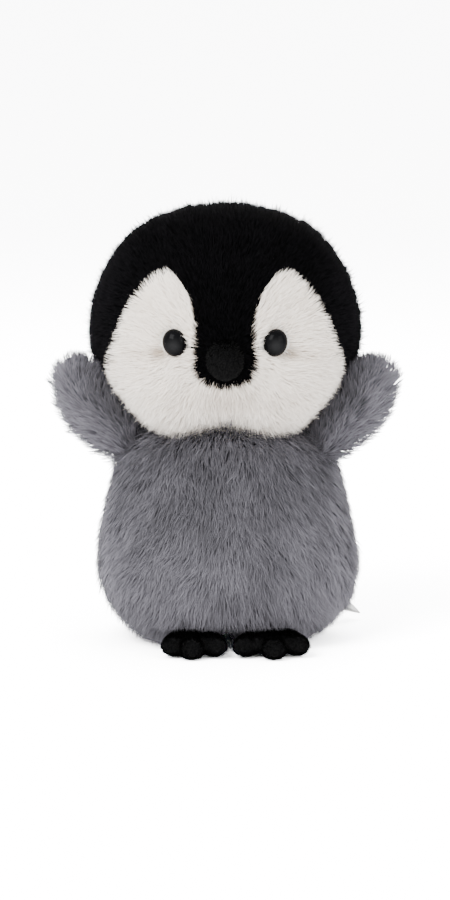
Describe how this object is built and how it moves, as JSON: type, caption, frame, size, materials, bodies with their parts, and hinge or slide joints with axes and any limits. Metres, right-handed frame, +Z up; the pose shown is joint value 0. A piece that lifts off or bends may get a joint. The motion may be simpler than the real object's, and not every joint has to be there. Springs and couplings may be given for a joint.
{
  "type": "plush penguin chick",
  "caption": "Soft fur penguin chick toy that stands upright on a flat base with raised flippers, sewn feet and plastic safety eyes.",
  "frame": {"origin": "middle of the flat base that the toy stands on", "axes": "+Z up; the toy faces -Y; its own left side is +X"},
  "size_m": [0.186, 0.1376, 0.234],
  "materials": {
    "black_fur": "long pile fur, black",
    "white_fur": "short pile fur, warm white",
    "grey_fur": "long pile fur, grey",
    "black_velour": "short pile velour, black",
    "stuffing": "loose polyester fibre",
    "eye_plastic": "gloss",
    "washer_plastic": "matte",
    "pouch_cloth": "plain woven cloth full of plastic pellets",
    "thread": "strong polyester thread",
    "label_ribbon": "satin ribbon, blank"
  },
  "bodies": {
    "body": {"body_front_left": "grey_fur", "body_front_right": "grey_fur", "body_back_left": "grey_fur", "body_back_right": "grey_fur", "base_panel": "grey_fur", "body_stuffing": "stuffing", "pellet_pouch": "pouch_cloth", "neck_thread": "thread", "closing_stitches": "thread", "foot_upper_left": "black_velour", "foot_upper_right": "black_velour", "foot_sole_left": "black_velour", "foot_sole_right": "black_velour", "foot_stuffing_left": "stuffing", "foot_stuffing_right": "stuffing"},
    "head": {"crown_stripe": "black_fur", "hood_left": "black_fur", "hood_right": "black_fur", "face_left": "white_fur", "face_right": "white_fur", "throat_panel": "grey_fur", "beak_cover": "black_velour", "beak_stuffing": "stuffing", "eye_left": "eye_plastic", "eye_right": "eye_plastic", "eye_washer_left": "washer_plastic", "eye_washer_right": "washer_plastic", "head_stuffing": "stuffing"},
    "flipper_left": {"flipper_front_left": "grey_fur", "flipper_back_left": "grey_fur", "flipper_stuffing_left": "stuffing"},
    "flipper_right": {"flipper_front_right": "grey_fur", "flipper_back_right": "grey_fur", "flipper_stuffing_right": "stuffing"},
    "label": {"care_label": "label_ribbon"}
  },
  "joints": [
    {"name": "head_nod", "type": "hinge", "parent": "body", "child": "head", "pos_m": [0, 0, 0.09], "axis": [1, 0, 0], "range_deg": [-5, 5], "stiffness_Nm_per_rad": 1.2},
    {"name": "flipper_left_flap", "type": "hinge", "parent": "body", "child": "flipper_left", "pos_m": [0.0575, -0.015, 0.108], "axis": [0, 1, 0], "range_deg": [0, 75], "stiffness_Nm_per_rad": 0.15},
    {"name": "flipper_right_flap", "type": "hinge", "parent": "body", "child": "flipper_right", "pos_m": [-0.0575, -0.015, 0.108], "axis": [0, -1, 0], "range_deg": [0, 75], "stiffness_Nm_per_rad": 0.15},
    {"name": "label_flap", "type": "hinge", "parent": "body", "child": "label", "pos_m": [0.05098, 0.03569, 0.012], "axis": [-0.5736, 0.8192, 0], "range_deg": [-25, 12], "stiffness_Nm_per_rad": 0.01}
  ]
}
